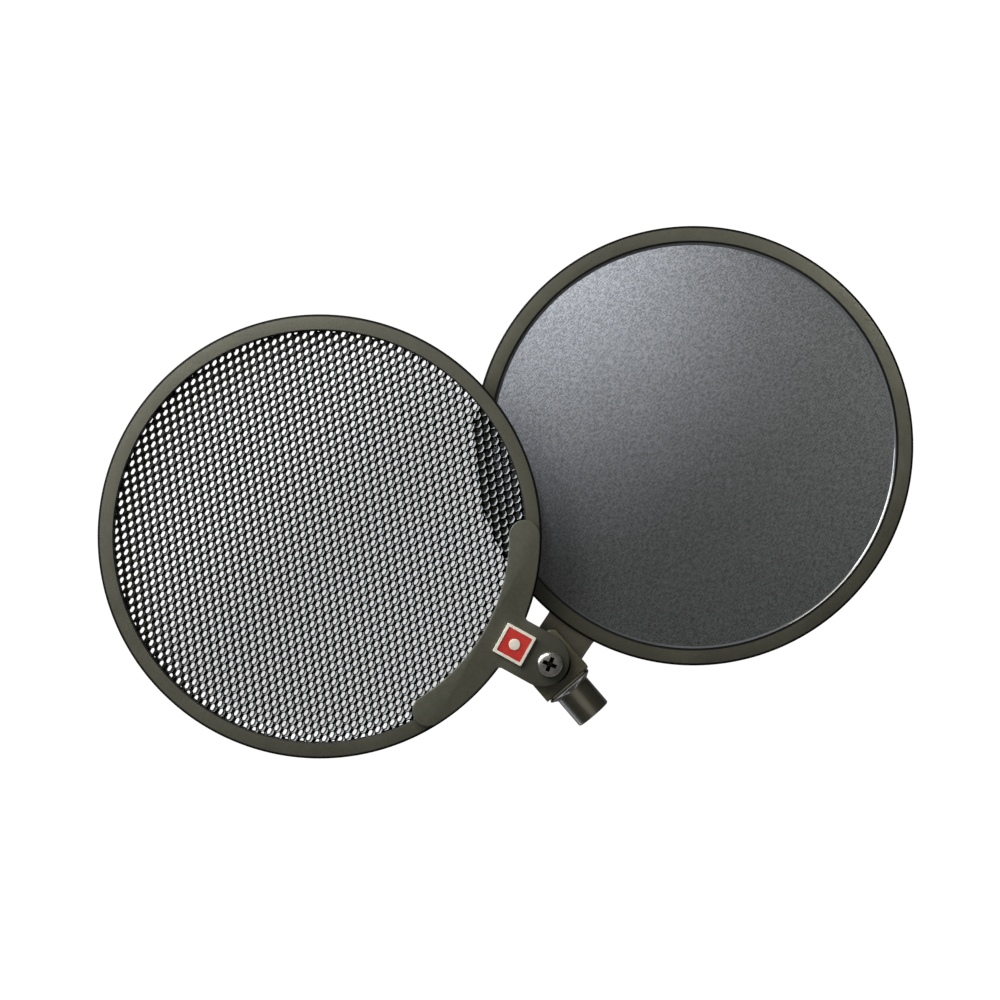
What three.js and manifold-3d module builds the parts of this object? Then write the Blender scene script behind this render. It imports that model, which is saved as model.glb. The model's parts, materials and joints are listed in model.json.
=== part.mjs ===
// Head of a pop filter: a metal mesh screen and a fabric screen that fan out about one pivot block.
// A long screw clamps both arms to the block, and the block's ferrule takes the end of a gooseneck.
// Millimetres. +Z runs along the pivot screw towards its head. The origin is the centre of the
// ferrule's open end, and +Y runs from there into the block.
import * as THREE from "three";
import { mergeVertices } from "three/addons/utils/BufferGeometryUtils.js";
import Module from "manifold-3d";

const wasm = await Module();
wasm.setup();

// ---- Driving dimensions ----

const GAP = 0.25; // clearance between neighbouring pieces

const SCREEN_RADIUS = 82.5; // outside radius of both screens
const SCREEN_TO_PIVOT = 97.5; // from a screen's centre to the pivot axis
const METAL_SCREEN_ANGLE = 20.4; // degrees, from +Y towards -X
const FABRIC_SCREEN_ANGLE = -74.5; // degrees, from +Y towards +X

const RIM_WIDTH = 6; // radial width of the two rims that clamp a screen
const RIM_DEPTH = 6; // both rims together, along Z
const RIM_CHAMFER = 0.9; // on the outside corner
const RIM_SEAM = 0.15; // half of the seam between the rims

const CLAMPED_EDGE = 3; // how far a screen's edge runs in between its rims
const MESH_THICKNESS = 1;
const FABRIC_THICKNESS = 0.6;
const HOOP_WIDTH = 1.4;
const HOOP_DEPTH = 1.3;

const ARM_WIDTH = 20;
const ARM_THICKNESS = 2.5;
const ARM_END_OFFSET = 3; // the arm's round end is centred this far short of the pivot axis
const ARM_FILLET = 2; // where the arm runs into the crescent
const CRESCENT_WIDTH = 11.5;
const CRESCENT_OUTER_RADIUS = 81.8;
const CRESCENT_HALF_ANGLE = 29.2; // degrees, from the arm to the centre of a round end
const PEG_ANGLES = [-24, 0, 24]; // degrees, from the arm
const PEG_RADIUS = 1.2;
const PEG_LENGTH = 1.6;
const PEG_ROOT = 0.5; // how far a peg runs up into its bracket

const BLOCK_WIDTH = 20;
const BLOCK_HALF_THICKNESS = 8;
const BLOCK_BACK = 9.5; // from the pivot axis to the end away from the ferrule
const BLOCK_FRONT = 10.5; // from the pivot axis to where the shoulder starts
const BLOCK_CORNER = 3;
const BLOCK_EDGE_CHAMFER = 0.7;
const SHOULDER_LENGTH = 2.9; // tapers from the block to the ferrule
const SHOULDER_HALF = 7; // half width and half thickness of its small end

const FERRULE_RADIUS = 7;
const FERRULE_CHAMFER = 0.8;
const SOCKET_RADIUS = 4.6;
const SOCKET_DEPTH = 9.5;
const SPIGOT_RADIUS = 4;
const PIVOT_TO_FERRULE_END = 25.7;
const PIVOT_TO_SPIGOT_END = 6;

const SCREW_RADIUS = 2.5; // M5
const SCREW_HEAD_RADIUS = 4.85;
const SCREW_HEAD_HEIGHT = 3.3;
const SCREW_HOLE_RADIUS = SCREW_RADIUS + GAP;
const SCREW_END_CHAMFER = 0.4;
const HEAD_RIM_HEIGHT = 1.2; // the head's straight side, below its dome
const HEAD_DOME = [[0.6, 1.1], [1.9, 0.3]]; // [inside the head's radius, below its crown]
const RECESS_SPAN = 5.2;
const RECESS_SLOT = 1.15;
const RECESS_DEPTH = 2;
const RECESS_TURN = 19; // degrees

const FRICTION_WASHER_RADIUS = 8;
const FRICTION_WASHER_THICKNESS = 0.6;
const FLAT_WASHER_RADIUS = 5;
const FLAT_WASHER_THICKNESS = 1;
const SPRING_WASHER_RADIUS = 4.6;
const SPRING_WASHER_THICKNESS = 1.2;
const SPRING_WASHER_SPLIT = 0.8;
const NUT_ACROSS_FLATS = 8;
const NUT_HEIGHT = 4.7;
const NUT_COLLAR_HEIGHT = 1.2; // the locking ring, at the end away from the washers
const NUT_COLLAR_INSET = 0.3; // inside the flats
const THREAD_END_LENGTH = 0.9; // the thread that stands out of the nut

const SET_SCREW_RADIUS = 1.5; // M3
const SET_SCREW_TO_PIVOT = 9.2;
const SET_SCREW_SOCKET_RADIUS = 0.85;
const SET_SCREW_SOCKET_DEPTH = 1.2;

const BADGE_SIZE = 12;
const BADGE_TO_PIVOT = 14.9;
const BADGE_PLATE_THICKNESS = 0.5;
const BADGE_WALL_HEIGHT = 0.5; // the border and the boss, above the plate
const BADGE_BORDER = 1;
const BADGE_BOSS_RADIUS = 2.1;
const BADGE_BOSS_FOOT = 0.1; // above the plate's underside
const ENAMEL_THICKNESS = 0.2;

const CLEAR = 1; // how far a cutting tool runs past the surface that it opens

const RIM_SIDES = 72;
const ROUND_SIDES = 32;
const SMALL_SIDES = 20;
const HEX_SIDES = 6;
const ARC_DIVISIONS = 8; // an arc of an outline gets twice this many chords

// ---- Levels along Z, counted from the block's middle plane ----

const ARM_LOW = BLOCK_HALF_THICKNESS + FRICTION_WASHER_THICKNESS + 2 * GAP;
const ARM_HIGH = ARM_LOW + ARM_THICKNESS;
const RIM_HIGH = ARM_LOW - GAP;
const RIM_MIDDLE = RIM_HIGH - RIM_DEPTH / 2;
const HEAD_LOW = ARM_HIGH + GAP;
const FLAT_WASHER_FACE = ARM_HIGH + GAP;
const SPRING_WASHER_FACE = FLAT_WASHER_FACE + FLAT_WASHER_THICKNESS + GAP;
const NUT_FACE = SPRING_WASHER_FACE + SPRING_WASHER_THICKNESS + GAP;
const SCREW_END = NUT_FACE + NUT_HEIGHT + THREAD_END_LENGTH;

// ---- Finishes ----

const finish = (color, roughness, metalness) =>
  new THREE.MeshStandardMaterial({ color, roughness, metalness });

const rimPlastic = finish(0x3a3a35, 0.5, 0);
const armPaint = finish(0x3b3b37, 0.5, 0.1);
const blockPaint = finish(0x33322b, 0.45, 0.2);
const blackLacquer = finish(0x1b1b1b, 0.3, 0.3);
const wovenFabric = finish(0x4c4e52, 0.75, 0);
const glossBlack = finish(0x1d1d1c, 0.22, 0.3);
const darkSteel = finish(0x8b8d8c, 0.28, 1);
const zincSteel = finish(0xa7a9aa, 0.35, 1);
const blackNylon = finish(0x161616, 0.6, 0);
const hoopPlastic = finish(0x202020, 0.6, 0);
const creamEnamel = finish(0xe8e2d6, 0.35, 0);
const redEnamel = finish(0xb5433c, 0.35, 0);

// ---- Geometry helpers ----

const radians = THREE.MathUtils.degToRad;

// A closed geometry as a manifold-3d solid.
function solid(geometry) {
  const bare = geometry.clone();
  bare.deleteAttribute("normal");
  bare.deleteAttribute("uv");
  const merged = mergeVertices(bare, 1e-4);
  return new wasm.Manifold(
    new wasm.Mesh({
      numProp: 3,
      vertProperties: new Float32Array(merged.attributes.position.array),
      triVerts: new Uint32Array(merged.index.array),
    }),
  );
}

// A manifold-3d solid as a geometry.
function surface(body) {
  const mesh = body.getMesh();
  const geometry = new THREE.BufferGeometry();
  geometry.setAttribute("position", new THREE.BufferAttribute(mesh.vertProperties, 3));
  geometry.setIndex(new THREE.BufferAttribute(mesh.triVerts, 1));
  const flat = geometry.toNonIndexed();
  flat.computeVertexNormals();
  return flat;
}

function cut(geometry, ...tools) {
  return surface(tools.reduce((body, tool) => body.subtract(solid(tool)), solid(geometry)));
}

function join(geometry, ...others) {
  return surface(others.reduce((body, other) => body.add(solid(other)), solid(geometry)));
}

// A profile of [radius, height] pairs turned about Z.
function turned(profile, sides) {
  const points = profile.map(([radius, height]) => new THREE.Vector2(radius, height));
  return new THREE.LatheGeometry(points, sides).rotateX(Math.PI / 2);
}

// An upright cylinder from one height to another.
function post(radius, low, high, sides) {
  return turned([[0, low], [radius, low], [radius, high], [0, high]], sides);
}

// A flat ring from one height to another.
function ring(inner, outer, low, high, sides) {
  const profile = [[inner, low], [outer, low], [outer, high], [inner, high], [inner, low]];
  return turned(profile, sides);
}

function box(width, length, low, high) {
  return new THREE.BoxGeometry(width, length, high - low).translate(0, 0, (low + high) / 2);
}

// An outline in the XY plane, drawn up from one height to another.
function plate(outline, low, high) {
  const options = { depth: high - low, bevelEnabled: false, curveSegments: ARC_DIVISIONS };
  return new THREE.ExtrudeGeometry(outline, options).translate(0, 0, low);
}

// ---- Pivot: block, ferrule and the clamping stack ----

function pivotBlock() {
  const half = BLOCK_WIDTH / 2;
  const tip = -(BLOCK_FRONT + SHOULDER_LENGTH);
  const plan = new THREE.Shape();
  plan.moveTo(-SHOULDER_HALF, tip);
  plan.lineTo(SHOULDER_HALF, tip);
  plan.lineTo(half, -BLOCK_FRONT);
  plan.absarc(half - BLOCK_CORNER, BLOCK_BACK - BLOCK_CORNER, BLOCK_CORNER, 0, Math.PI / 2);
  plan.absarc(BLOCK_CORNER - half, BLOCK_BACK - BLOCK_CORNER, BLOCK_CORNER, Math.PI / 2, Math.PI);
  plan.lineTo(-half, -BLOCK_FRONT);
  plan.closePath();
  const upright = plate(plan, -BLOCK_HALF_THICKNESS, BLOCK_HALF_THICKNESS);

  // The side view, drawn with its first axis along Y and its second along Z.
  const side = new THREE.Shape([
    new THREE.Vector2(tip, -SHOULDER_HALF),
    new THREE.Vector2(-BLOCK_FRONT, -BLOCK_HALF_THICKNESS),
    new THREE.Vector2(BLOCK_BACK - BLOCK_EDGE_CHAMFER, -BLOCK_HALF_THICKNESS),
    new THREE.Vector2(BLOCK_BACK, BLOCK_EDGE_CHAMFER - BLOCK_HALF_THICKNESS),
    new THREE.Vector2(BLOCK_BACK, BLOCK_HALF_THICKNESS - BLOCK_EDGE_CHAMFER),
    new THREE.Vector2(BLOCK_BACK - BLOCK_EDGE_CHAMFER, BLOCK_HALF_THICKNESS),
    new THREE.Vector2(-BLOCK_FRONT, BLOCK_HALF_THICKNESS),
    new THREE.Vector2(tip, SHOULDER_HALF),
  ]);
  const across = plate(side, -half - CLEAR, half + CLEAR);
  across.applyMatrix4(new THREE.Matrix4().set(0, 0, 1, 0, 1, 0, 0, 0, 0, 1, 0, 0, 0, 0, 0, 1));

  const past = BLOCK_HALF_THICKNESS + CLEAR;
  const screwHole = post(SCREW_HOLE_RADIUS, -past, past, SMALL_SIDES);
  const boreEnd = -(PIVOT_TO_SPIGOT_END - GAP);
  const boreLength = boreEnd - tip + CLEAR;
  const spigotBore = new THREE.CylinderGeometry(
    SPIGOT_RADIUS + GAP, SPIGOT_RADIUS + GAP, boreLength, ROUND_SIDES,
  ).translate(0, boreEnd - boreLength / 2, 0);
  const setScrewHole = post(SET_SCREW_RADIUS + GAP, -past, 0, SMALL_SIDES);
  setScrewHole.translate(0, -SET_SCREW_TO_PIVOT, 0);

  const body = solid(upright).intersect(solid(across));
  return cut(surface(body), screwHole, spigotBore, setScrewHole);
}

// Turned about Y, from the open socket at the origin to the spigot inside the block.
function gooseneckFerrule() {
  const shoulder = PIVOT_TO_FERRULE_END - BLOCK_FRONT - SHOULDER_LENGTH - GAP;
  const spigotEnd = PIVOT_TO_FERRULE_END - PIVOT_TO_SPIGOT_END;
  const profile = [
    [0, SOCKET_DEPTH],
    [SOCKET_RADIUS, SOCKET_DEPTH],
    [SOCKET_RADIUS, 0],
    [FERRULE_RADIUS - FERRULE_CHAMFER, 0],
    [FERRULE_RADIUS, FERRULE_CHAMFER],
    [FERRULE_RADIUS, shoulder],
    [SPIGOT_RADIUS, shoulder],
    [SPIGOT_RADIUS, spigotEnd],
    [0, spigotEnd],
  ];
  return new THREE.LatheGeometry(
    profile.map(([radius, along]) => new THREE.Vector2(radius, along)), ROUND_SIDES,
  );
}

function pivotScrew() {
  const crown = HEAD_LOW + SCREW_HEAD_HEIGHT;
  const body = turned([
    [0, -SCREW_END],
    [SCREW_RADIUS - SCREW_END_CHAMFER, -SCREW_END],
    [SCREW_RADIUS, SCREW_END_CHAMFER - SCREW_END],
    [SCREW_RADIUS, HEAD_LOW],
    [SCREW_HEAD_RADIUS, HEAD_LOW],
    [SCREW_HEAD_RADIUS, HEAD_LOW + HEAD_RIM_HEIGHT],
    ...HEAD_DOME.map(([inside, below]) => [SCREW_HEAD_RADIUS - inside, crown - below]),
    [0, crown],
  ], SMALL_SIDES);
  const slot = box(RECESS_SPAN, RECESS_SLOT, crown - RECESS_DEPTH, crown + CLEAR);
  const crossSlot = box(RECESS_SLOT, RECESS_SPAN, crown - RECESS_DEPTH, crown + CLEAR);
  return cut(body, slot, crossSlot).rotateZ(radians(RECESS_TURN));
}

function springWasher() {
  const thickness = SPRING_WASHER_THICKNESS;
  const body = ring(SCREW_HOLE_RADIUS, SPRING_WASHER_RADIUS, 0, thickness, SMALL_SIDES);
  const split = box(SPRING_WASHER_RADIUS, SPRING_WASHER_SPLIT, -CLEAR, thickness + CLEAR);
  return cut(body, split.translate(SPRING_WASHER_RADIUS / 2 + CLEAR, 0, 0));
}

function pivotNut() {
  const cornerRadius = NUT_ACROSS_FLATS / Math.sqrt(3);
  const hexagon = new THREE.CylinderGeometry(cornerRadius, cornerRadius, NUT_HEIGHT, HEX_SIDES);
  hexagon.rotateX(Math.PI / 2).translate(0, 0, NUT_HEIGHT / 2);
  const collar = post(NUT_ACROSS_FLATS / 2 - NUT_COLLAR_INSET, 0, NUT_HEIGHT, SMALL_SIDES);
  const shoulder = NUT_HEIGHT - NUT_COLLAR_HEIGHT;
  const span = 2 * NUT_ACROSS_FLATS;
  const hexagonPart = cut(hexagon, box(span, span, shoulder, NUT_HEIGHT + CLEAR));
  const bore = post(SCREW_HOLE_RADIUS, -CLEAR, NUT_HEIGHT + CLEAR, SMALL_SIDES);
  return cut(join(hexagonPart, collar), bore);
}

function setScrew() {
  const length = BLOCK_HALF_THICKNESS - SPIGOT_RADIUS - 2 * GAP;
  const body = post(SET_SCREW_RADIUS, 0, length, SMALL_SIDES);
  return cut(body, post(SET_SCREW_SOCKET_RADIUS, -CLEAR, SET_SCREW_SOCKET_DEPTH, HEX_SIDES));
}

// ---- Screens, each drawn with the pivot axis at the origin and its centre on +Y ----

// Half of a rim pair: the half above the screen's middle plane, which is at height 0.
// A pocket holds the fabric's hoop.
function rimHalf(screenThickness, hasPocket) {
  const inner = SCREEN_RADIUS - RIM_WIDTH;
  const seat = screenThickness / 2 + GAP;
  const seatWall = inner + CLAMPED_EDGE + GAP;
  const pocketWall = inner + CLAMPED_EDGE - HOOP_WIDTH - GAP;
  const pocketRoof = screenThickness / 2 + 2 * GAP + HOOP_DEPTH + GAP;
  const pocket = [[pocketWall, seat], [pocketWall, pocketRoof], [seatWall, pocketRoof]];
  const profile = [
    [inner, seat],
    ...(hasPocket ? pocket : [[seatWall, seat]]),
    [seatWall, RIM_SEAM],
    [SCREEN_RADIUS, RIM_SEAM],
    [SCREEN_RADIUS, RIM_DEPTH / 2 - RIM_CHAMFER],
    [SCREEN_RADIUS - RIM_CHAMFER, RIM_DEPTH / 2],
    [inner, RIM_DEPTH / 2],
    [inner, seat],
  ];
  return turned(profile, RIM_SIDES);
}

// The bracket's pegs stand in these, or with no extra size they are the pegs.
function pegs(extra) {
  const onRadius = SCREEN_RADIUS - RIM_WIDTH / 2;
  const low = ARM_LOW - GAP - PEG_LENGTH - extra;
  return PEG_ANGLES.map((angle) =>
    post(PEG_RADIUS + extra, low, ARM_LOW + PEG_ROOT, SMALL_SIDES)
      .translate(0, -onRadius, 0)
      .rotateZ(radians(angle))
      .translate(0, SCREEN_TO_PIVOT, 0),
  );
}

// The rim half under the bracket, with a socket for each peg.
function bracketRim(screenThickness) {
  const half = rimHalf(screenThickness, false).translate(0, SCREEN_TO_PIVOT, RIM_MIDDLE);
  return cut(half, ...pegs(GAP));
}

// The rim half away from the bracket.
function plainRim(screenThickness, hasPocket) {
  const half = rimHalf(screenThickness, hasPocket).rotateX(Math.PI);
  return half.translate(0, SCREEN_TO_PIVOT, RIM_MIDDLE);
}

function screenDisc(thickness) {
  const edge = SCREEN_RADIUS - RIM_WIDTH + CLAMPED_EDGE;
  const disc = post(edge, -thickness / 2, thickness / 2, RIM_SIDES);
  return disc.translate(0, SCREEN_TO_PIVOT, RIM_MIDDLE);
}

function fabricHoop() {
  const outer = SCREEN_RADIUS - RIM_WIDTH + CLAMPED_EDGE;
  const high = -(FABRIC_THICKNESS / 2 + GAP);
  const hoop = ring(outer - HOOP_WIDTH, outer, high - HOOP_DEPTH, high, RIM_SIDES);
  return hoop.translate(0, SCREEN_TO_PIVOT, RIM_MIDDLE);
}

// A straight arm with a round end over the pivot, and a crescent with round ends on the rim.
function bracketOutline() {
  const half = ARM_WIDTH / 2;
  const outer = CRESCENT_OUTER_RADIUS;
  const inner = outer - CRESCENT_WIDTH;
  const middle = outer - CRESCENT_WIDTH / 2;
  const endRadius = CRESCENT_WIDTH / 2;
  const centre = SCREEN_TO_PIVOT;
  const down = -Math.PI / 2;
  const reach = radians(CRESCENT_HALF_ANGLE);

  // A fillet's centre lies beside the arm and outside the crescent, by the fillet's radius.
  const filletX = half + ARM_FILLET;
  const filletY = centre - Math.sqrt((outer + ARM_FILLET) ** 2 - filletX ** 2);
  const lean = Math.atan2(filletX, centre - filletY);

  const outline = new THREE.Shape();
  outline.absarc(0, ARM_END_OFFSET, half, Math.PI, 2 * Math.PI);
  outline.absarc(filletX, filletY, ARM_FILLET, Math.PI, Math.PI / 2 + lean, true);
  outline.absarc(0, centre, outer, down + lean, down + reach);
  const right = new THREE.Vector2(Math.sin(reach), -Math.cos(reach)).multiplyScalar(middle);
  outline.absarc(right.x, centre + right.y, endRadius, down + reach, down + reach + Math.PI);
  outline.absarc(0, centre, inner, down + reach, down - reach, true);
  const leftEnd = Math.PI + down - reach;
  outline.absarc(-right.x, centre + right.y, endRadius, leftEnd, leftEnd + Math.PI);
  outline.absarc(0, centre, outer, down - reach, down - lean);
  outline.absarc(-filletX, filletY, ARM_FILLET, Math.PI / 2 - lean, 0, true);
  outline.closePath();

  const hole = new THREE.Path();
  hole.absarc(0, 0, SCREW_HOLE_RADIUS, 0, 2 * Math.PI);
  outline.holes.push(hole);
  return outline;
}

function bracket() {
  return join(plate(bracketOutline(), ARM_LOW, ARM_HIGH), ...pegs(0));
}

// ---- Badge: a plate with a raised border and boss, and an enamel field between them ----

function badgePlate() {
  const low = ARM_HIGH + GAP;
  const floor = low + BADGE_PLATE_THICKNESS;
  const high = floor + BADGE_WALL_HEIGHT;
  const field = BADGE_SIZE - 2 * BADGE_BORDER;
  const recess = box(field, field, floor, high + CLEAR);
  const frame = cut(box(BADGE_SIZE, BADGE_SIZE, low, high), recess);
  const boss = post(BADGE_BOSS_RADIUS, low + BADGE_BOSS_FOOT, high, SMALL_SIDES);
  return join(frame, boss).translate(0, BADGE_TO_PIVOT, 0);
}

function badgeEnamel() {
  const low = ARM_HIGH + GAP + BADGE_PLATE_THICKNESS + GAP / 2;
  const high = low + ENAMEL_THICKNESS;
  const field = BADGE_SIZE - 2 * BADGE_BORDER - GAP;
  const hole = post(BADGE_BOSS_RADIUS + GAP / 2, low - CLEAR, high + CLEAR, SMALL_SIDES);
  return cut(box(field, field, low, high), hole).translate(0, BADGE_TO_PIVOT, 0);
}

// ---- Assembly ----

function piece(name, geometry, material) {
  const mesh = new THREE.Mesh(geometry, material);
  mesh.name = name;
  return mesh;
}

function washer(radius, low, thickness) {
  return ring(SCREW_HOLE_RADIUS, radius, low, low + thickness, ROUND_SIDES);
}

const popFilter = new THREE.Group();

const pivot = new THREE.Group();
pivot.position.y = PIVOT_TO_FERRULE_END;
pivot.add(
  piece("pivot_block", pivotBlock(), blockPaint),
  piece("pivot_screw", pivotScrew(), darkSteel),
  piece(
    "front_friction_washer",
    washer(FRICTION_WASHER_RADIUS, BLOCK_HALF_THICKNESS + GAP, FRICTION_WASHER_THICKNESS),
    blackNylon,
  ),
  piece(
    "rear_friction_washer",
    washer(
      FRICTION_WASHER_RADIUS,
      -BLOCK_HALF_THICKNESS - GAP - FRICTION_WASHER_THICKNESS,
      FRICTION_WASHER_THICKNESS,
    ),
    blackNylon,
  ),
  piece(
    "rear_flat_washer",
    washer(FLAT_WASHER_RADIUS, -FLAT_WASHER_FACE - FLAT_WASHER_THICKNESS, FLAT_WASHER_THICKNESS),
    zincSteel,
  ),
);

const lockWasher = piece("spring_washer", springWasher(), zincSteel);
lockWasher.position.z = -SPRING_WASHER_FACE - SPRING_WASHER_THICKNESS;
const nut = piece("pivot_nut", pivotNut(), zincSteel);
nut.position.z = -NUT_FACE;
nut.rotation.x = Math.PI;
const ferruleScrew = piece("ferrule_set_screw", setScrew(), darkSteel);
ferruleScrew.position.set(0, -SET_SCREW_TO_PIVOT, GAP - BLOCK_HALF_THICKNESS);
pivot.add(lockWasher, nut, ferruleScrew);
popFilter.add(pivot);

popFilter.add(piece("gooseneck_ferrule", gooseneckFerrule(), glossBlack));

const metalFilter = new THREE.Group();
metalFilter.position.y = PIVOT_TO_FERRULE_END;
metalFilter.rotation.z = radians(METAL_SCREEN_ANGLE);
metalFilter.add(
  piece("metal_filter_bracket", bracket(), armPaint),
  piece("metal_filter_front_rim", bracketRim(MESH_THICKNESS), rimPlastic),
  piece("metal_filter_rear_rim", plainRim(MESH_THICKNESS, false), rimPlastic),
  piece("metal_mesh", screenDisc(MESH_THICKNESS), blackLacquer),
  piece("badge_plate", badgePlate(), creamEnamel),
  piece("badge_enamel", badgeEnamel(), redEnamel),
);
popFilter.add(metalFilter);

// The fabric screen's frame is the same frame turned over, so its bracket is at the back.
const fabricFilter = new THREE.Group();
fabricFilter.position.y = PIVOT_TO_FERRULE_END;
fabricFilter.rotation.order = "ZYX";
fabricFilter.rotation.y = Math.PI;
fabricFilter.rotation.z = radians(FABRIC_SCREEN_ANGLE);
fabricFilter.add(
  piece("fabric_filter_bracket", bracket(), armPaint),
  piece("fabric_filter_rear_rim", bracketRim(FABRIC_THICKNESS), rimPlastic),
  piece("fabric_filter_front_rim", plainRim(FABRIC_THICKNESS, true), rimPlastic),
  piece("fabric_membrane", screenDisc(FABRIC_THICKNESS), wovenFabric),
  piece("fabric_hoop", fabricHoop(), hoopPlastic),
);
popFilter.add(fabricFilter);

export default popFilter;
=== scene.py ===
import json
import math

import bpy
import numpy as np
from mathutils import Matrix, Vector
from mathutils.geometry import tessellate_polygon


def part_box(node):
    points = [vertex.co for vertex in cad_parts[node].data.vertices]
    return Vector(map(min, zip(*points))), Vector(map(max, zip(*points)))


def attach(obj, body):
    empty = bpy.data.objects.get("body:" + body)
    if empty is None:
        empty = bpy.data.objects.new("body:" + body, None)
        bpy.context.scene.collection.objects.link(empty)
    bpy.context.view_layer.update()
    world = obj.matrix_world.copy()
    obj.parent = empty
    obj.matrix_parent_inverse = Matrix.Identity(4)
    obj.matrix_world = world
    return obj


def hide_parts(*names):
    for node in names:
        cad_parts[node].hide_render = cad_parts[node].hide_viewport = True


# Looks of a pop filter's head: a metal mesh screen and a fabric screen on one pivot block.
# Shapes are in millimetres until piece() makes a mesh. Places, materials and lights are in metres.

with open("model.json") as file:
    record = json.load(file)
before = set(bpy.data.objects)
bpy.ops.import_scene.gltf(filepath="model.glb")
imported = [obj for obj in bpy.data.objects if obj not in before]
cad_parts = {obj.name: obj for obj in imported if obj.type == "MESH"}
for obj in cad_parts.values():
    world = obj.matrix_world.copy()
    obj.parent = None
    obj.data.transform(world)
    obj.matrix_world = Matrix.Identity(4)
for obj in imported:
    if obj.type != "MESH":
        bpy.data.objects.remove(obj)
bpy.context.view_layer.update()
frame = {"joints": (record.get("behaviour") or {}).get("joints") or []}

MM = 0.001
TURN = 2 * math.pi

# ---- Camera ----

CAMERA_ROLL = math.radians(40.7)
CAMERA_HEIGHT = 1.1  # above the front of the rims
CAMERA_RIGHT_OF_PIVOT = -0.0184
CAMERA_ABOVE_PIVOT = 0.06065
CAMERA_NEAR_CLIP = 0.05
SENSOR_WIDTH = 36
LENS = 106.7

joints = {joint["name"]: joint for joint in frame["joints"]}
pivot = Vector(joints["metal_filter_swing"]["pos_m"])
rim_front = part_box("metal_filter_front_rim")[1].z

roll = Matrix.Rotation(-CAMERA_ROLL, 4, "Z")
aim = pivot + roll @ Vector((CAMERA_RIGHT_OF_PIVOT, CAMERA_ABOVE_PIVOT, 0))
camera_data = bpy.data.cameras.new("camera")
camera_data.lens = LENS
camera_data.sensor_width = SENSOR_WIDTH
camera_data.clip_start = CAMERA_NEAR_CLIP
camera = bpy.data.objects.new("camera", camera_data)
bpy.context.scene.collection.objects.link(camera)
camera.matrix_world = Matrix.Translation((aim.x, aim.y, rim_front + CAMERA_HEIGHT)) @ roll
bpy.context.scene.camera = camera
bpy.context.scene.view_settings.view_transform = "Standard"


def in_view(right, up, height=0.0):
    """A point given from the pivot along the camera's right and up, in metres."""
    return pivot + roll @ Vector((right, up, 0)) + Vector((0, 0, height))


# ---- Frames of the two screens: origin on the pivot axis, +Y to the screen's centre ----


def screen_frame(node, turned_over):
    """The bracket's frame, the screen's frame, and how far its centre is from the pivot."""
    low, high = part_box(node)
    centre = (low + high) / 2
    away = centre - pivot
    angle = math.atan2(-away.x, away.y)
    bracket = Matrix.Translation(pivot) @ Matrix.Rotation(angle, 4, "Z")
    if turned_over:
        bracket = bracket @ Matrix.Rotation(math.pi, 4, "Y")
    reach = away.to_2d().length
    screen = bracket @ Matrix.Translation((0, reach, abs(centre.z)))
    return bracket, screen, reach / MM


METAL, METAL_SCREEN, REACH = screen_frame("metal_mesh", False)
FABRIC, FABRIC_SCREEN, _ = screen_frame("fabric_membrane", True)
PIVOT = Matrix.Translation(pivot)


def level(node, end):
    """A CAD node's lowest (0) or highest (1) level in mm."""
    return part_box(node)[end].z / MM


# The section of a rim, as radii from the screen's axis and depths in it.
rim_low, rim_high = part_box("metal_filter_front_rim")
RIM_OUTER = min((rim_high - rim_low)[:2]) / MM / 2
RIM_INNER = 76.5
RIM_HALF = 3.0
RIM_SIDES = 288
SEAM = 0.06
SEAT_WALL = 79.6
LIP_WIDTH = 0.35
LIP_DROP = 0.4
EDGE_WIDTH = 0.85  # of the black ring on the outer corner, which is painted shade
EDGE_DEPTH = 0.9
EDGE_ROUND = 0.6
BEAD_INNER = 75.35
BEAD_OUTER = 76.15
BEAD_RISE = 0.72
BEAD_FOOT = 0.1
GROOVE_OUTER = 76.85
GROOVE_FLOOR = 0.3

# ---- Materials ----


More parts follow.
